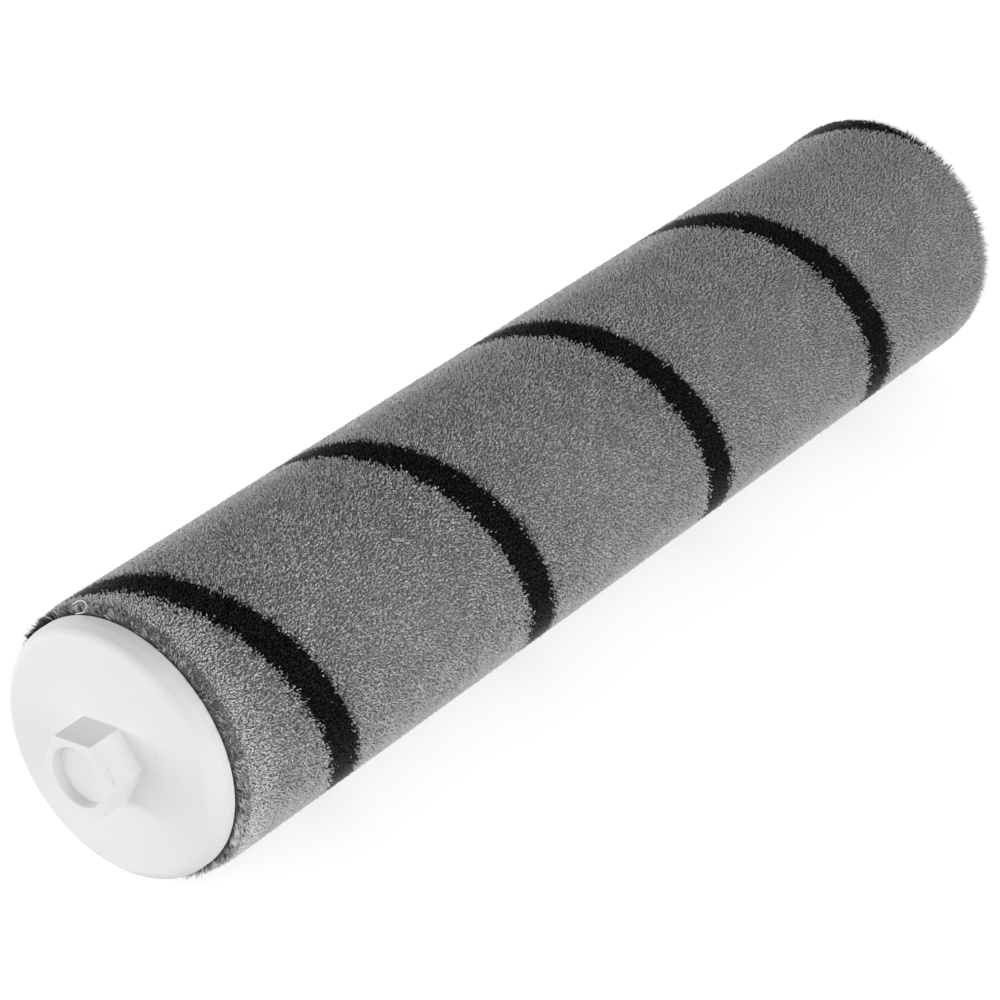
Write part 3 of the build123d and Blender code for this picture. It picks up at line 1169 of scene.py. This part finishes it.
@dataclass(frozen=True)
class Lamp:
    """A large soft lamp that faces the object."""

    name: str
    way: Vector
    distance: float
    width: float
    height: float
    power: float

    def hang(self) -> None:
        """Adds the lamp to the scene."""
        light = bpy.data.lights.new(self.name, "AREA")
        light.shape = "RECTANGLE"
        light.size = self.width
        light.size_y = self.height
        light.energy = self.power
        lamp = bpy.data.objects.new(self.name, light)
        bpy.context.scene.collection.objects.link(lamp)
        lamp.location = self.way.normalized() * self.distance
        lamp.rotation_mode = "QUATERNION"
        lamp.rotation_quaternion = (-self.way).to_track_quat("-Z", "Y")


@dataclass
class Studio:
    """The pale floor, soft light and camera."""

    camera_place: Vector = Vector((-453.96, -345.32, 370.25)) * MM
    camera_target: Vector = Vector((-4.91, 2.55, 20.51)) * MM
    lens: float = 133.555
    sensor: float = 36.0
    floor_size: float = 8.0
    floor_colour: Colour = grey(0.8)
    floor_glow: float = 0.68
    zenith_level: float = 0.2
    horizon_level: float = 1.7
    horizon_fall: float = 2.0
    lamps: tuple[Lamp, ...] = (
        Lamp("front_lamp", Vector((-0.36, 0.25, 0.022)), 0.42, 0.6, 0.03, 0.5),
        Lamp("right_lamp", Vector((-0.15, -0.96, 0.26)), 1.5, 0.8, 0.8, 7.8),
        Lamp("back_lamp", Vector((-0.1, 0.96, 0.26)), 1.5, 0.8, 0.8, 3.3),
    )

    def build(self) -> None:
        """Sets up the whole studio."""
        bpy.context.scene.view_settings.view_transform = "Standard"
        self.add_floor()
        self.add_sky()
        for lamp in self.lamps:
            lamp.hang()
        self.add_camera()

    @staticmethod
    def seen(tree: bpy.types.NodeTree) -> bpy.types.NodeSocket:
        """Returns 1 for rays from the camera, a mirror or glass, and 0 for others."""
        path = tree.nodes.new("ShaderNodeLightPath")
        total = path.outputs["Is Camera Ray"]
        for name in ("Is Glossy Ray", "Is Transmission Ray"):
            more = tree.nodes.new("ShaderNodeMath")
            more.operation = "MAXIMUM"
            tree.links.new(total, more.inputs[0])
            tree.links.new(path.outputs[name], more.inputs[1])
            total = more.outputs["Value"]
        return total

    def add_floor(self) -> None:
        """Lays the floor, which shows white and still holds the shadow."""
        deselect()
        bpy.ops.mesh.primitive_plane_add(size=self.floor_size)
        floor = take_active()
        floor.name = "floor"
        material = bpy.data.materials.new("floor_paper")
        material.use_nodes = True
        tree = material.node_tree
        tree.nodes.clear()
        matt = tree.nodes.new("ShaderNodeBsdfDiffuse")
        matt.inputs["Color"].default_value = rgba(self.floor_colour)
        glow = tree.nodes.new("ShaderNodeEmission")
        level = tree.nodes.new("ShaderNodeMath")
        level.operation = "MULTIPLY"
        level.inputs[1].default_value = self.floor_glow
        tree.links.new(self.seen(tree), level.inputs[0])
        tree.links.new(level.outputs["Value"], glow.inputs["Strength"])
        both = tree.nodes.new("ShaderNodeAddShader")
        tree.links.new(matt.outputs["BSDF"], both.inputs[0])
        tree.links.new(glow.outputs["Emission"], both.inputs[1])
        out = tree.nodes.new("ShaderNodeOutputMaterial")
        tree.links.new(both.outputs["Shader"], out.inputs["Surface"])
        floor.data.materials.append(material)

    def add_sky(self) -> None:
        """Surrounds the object with soft light, stronger near the horizon, that shows white behind it."""
        world = bpy.data.worlds.new("studio")
        bpy.context.scene.world = world
        world.use_nodes = True
        tree = world.node_tree
        sky = tree.nodes["Background"]
        sky.inputs["Color"].default_value = rgba(grey(1.0))
        way = tree.nodes.new("ShaderNodeTexCoord").outputs["Generated"]
        parts = tree.nodes.new("ShaderNodeSeparateXYZ")
        tree.links.new(way, parts.inputs["Vector"])
        low = tree.nodes.new("ShaderNodeMapRange")
        low.inputs["To Min"].default_value = 1.0
        low.inputs["To Max"].default_value = 0.0
        tree.links.new(parts.outputs["Z"], low.inputs["Value"])
        square = tree.nodes.new("ShaderNodeMath")
        square.operation = "POWER"
        square.inputs[1].default_value = self.horizon_fall
        tree.links.new(low.outputs["Result"], square.inputs[0])
        glow = tree.nodes.new("ShaderNodeMapRange")
        glow.inputs["To Min"].default_value = self.zenith_level
        glow.inputs["To Max"].default_value = self.horizon_level
        tree.links.new(square.outputs["Value"], glow.inputs["Value"])
        level = tree.nodes.new("ShaderNodeMapRange")
        level.inputs["To Max"].default_value = 1.0
        tree.links.new(self.seen(tree), level.inputs["Value"])
        tree.links.new(glow.outputs["Result"], level.inputs["To Min"])
        tree.links.new(level.outputs["Result"], sky.inputs["Strength"])

    def add_camera(self) -> None:
        """Stands the camera where the picture was taken from."""
        data = bpy.data.cameras.new("camera")
        data.lens = self.lens
        data.sensor_width = self.sensor
        camera = bpy.data.objects.new("camera", data)
        bpy.context.scene.collection.objects.link(camera)
        camera.location = self.camera_place
        camera.rotation_mode = "QUATERNION"
        camera.rotation_quaternion = (self.camera_target - self.camera_place).to_track_quat("-Z", "Y")
        bpy.context.scene.camera = camera


def report_piece(piece: bpy.types.Object) -> None:
    """Logs a piece's name and size."""
    LOG.info("%s: %d faces", piece.name, len(piece.data.polygons))


def main() -> None:
    """Builds and dresses every sub-assembly in order."""
    logging.basicConfig(level=logging.INFO, format="%(name)s %(message)s")
    form = PileForm.from_frame()
    LOG.info("pile from %.4f to %.4f m, radius %.4f m", form.start, form.end, form.radius)
    # The beds are darker than the fibres: painted shade down between them.
    beds = {
        Strip.GREY: BedFinish("grey_bed", grey(0.16), grey(0.3)),
        Strip.BLACK: BedFinish("black_bed", grey(0.003), grey(0.01)),
    }
    # Painted sheen on these fibres: a pale colour mixed into their base colour where the roller's side turns
    # away, more on top than underneath.
    crop = {
        Strip.GREY: FibreFinish("grey_fibre", grey(0.28), grey(0.42), grey(0.48),
                                0.8, 0.7, 0.8, 0.25, near_speckle=2.8, far_speckle=0.1, top_painted_sheen=5.6,
                                under_painted_sheen=0.3),
        Strip.BLACK: FibreFinish("black_fibre", grey(0.005), grey(0.014),
                                 grey(0.03), 0.95, 0.8, 0.0, 0.05, top_painted_sheen=0.6, under_painted_sheen=0.4),
    }
    # The near fringe's fibres have deep painted shade at their roots, by the cap's rim, and painted light on
    # their pale tips.
    near_fringe = {
        Strip.GREY: FibreFinish("grey_near_fibre", grey(0.008), grey(0.45), grey(0.95),
                                0.8, 0.7, 0.5, 0.25, rise=0.7),
        Strip.BLACK: FibreFinish("black_near_fibre", grey(0.006), grey(0.04),
                                 grey(0.13), 0.9, 0.8, 0.2, 0.1),
    }
    far_fringe = {
        Strip.GREY: FibreFinish("grey_far_fibre", grey(0.15), grey(0.38), grey(0.58),
                                0.5, 0.7, 0.5, 0.25),
        Strip.BLACK: FibreFinish("black_far_fibre", grey(0.004), grey(0.012),
                                 grey(0.03), 0.9, 0.8, 0.0, 0.05),
    }
    for strip in Strip:
        bed = PileBed(form, strip, beds[strip])
        piece = bed.build()
        bed.dress(piece)
        report_piece(piece)
    for piece in PileCrop(form, crop).build():
        report_piece(piece)
    near = EndFringe(form, near_fringe, End.NEAR)
    far = EndFringe(form, far_fringe, End.FAR, splay=math.radians(13.0), least_splay=0.4, scatter=0.07,
                    thickness=0.09 * MM, clump_width=1.8 * MM, clump_pull=0.3, clump_fall=0.3 * MM,
                    clump_shade=0.08, top_shade=0.0, seed=22)
    for piece in (*near.build(), *far.build()):
        report_piece(piece)
    curl = StrayCurl()
    piece = curl.build()
    curl.dress(piece, PlasticFinish("stray_fibre", (0.88, 0.88, 0.87), 0.6))
    report_piece(piece)
    Hardware().dress()
    Studio().build()


if __name__ == "__main__":
    main()
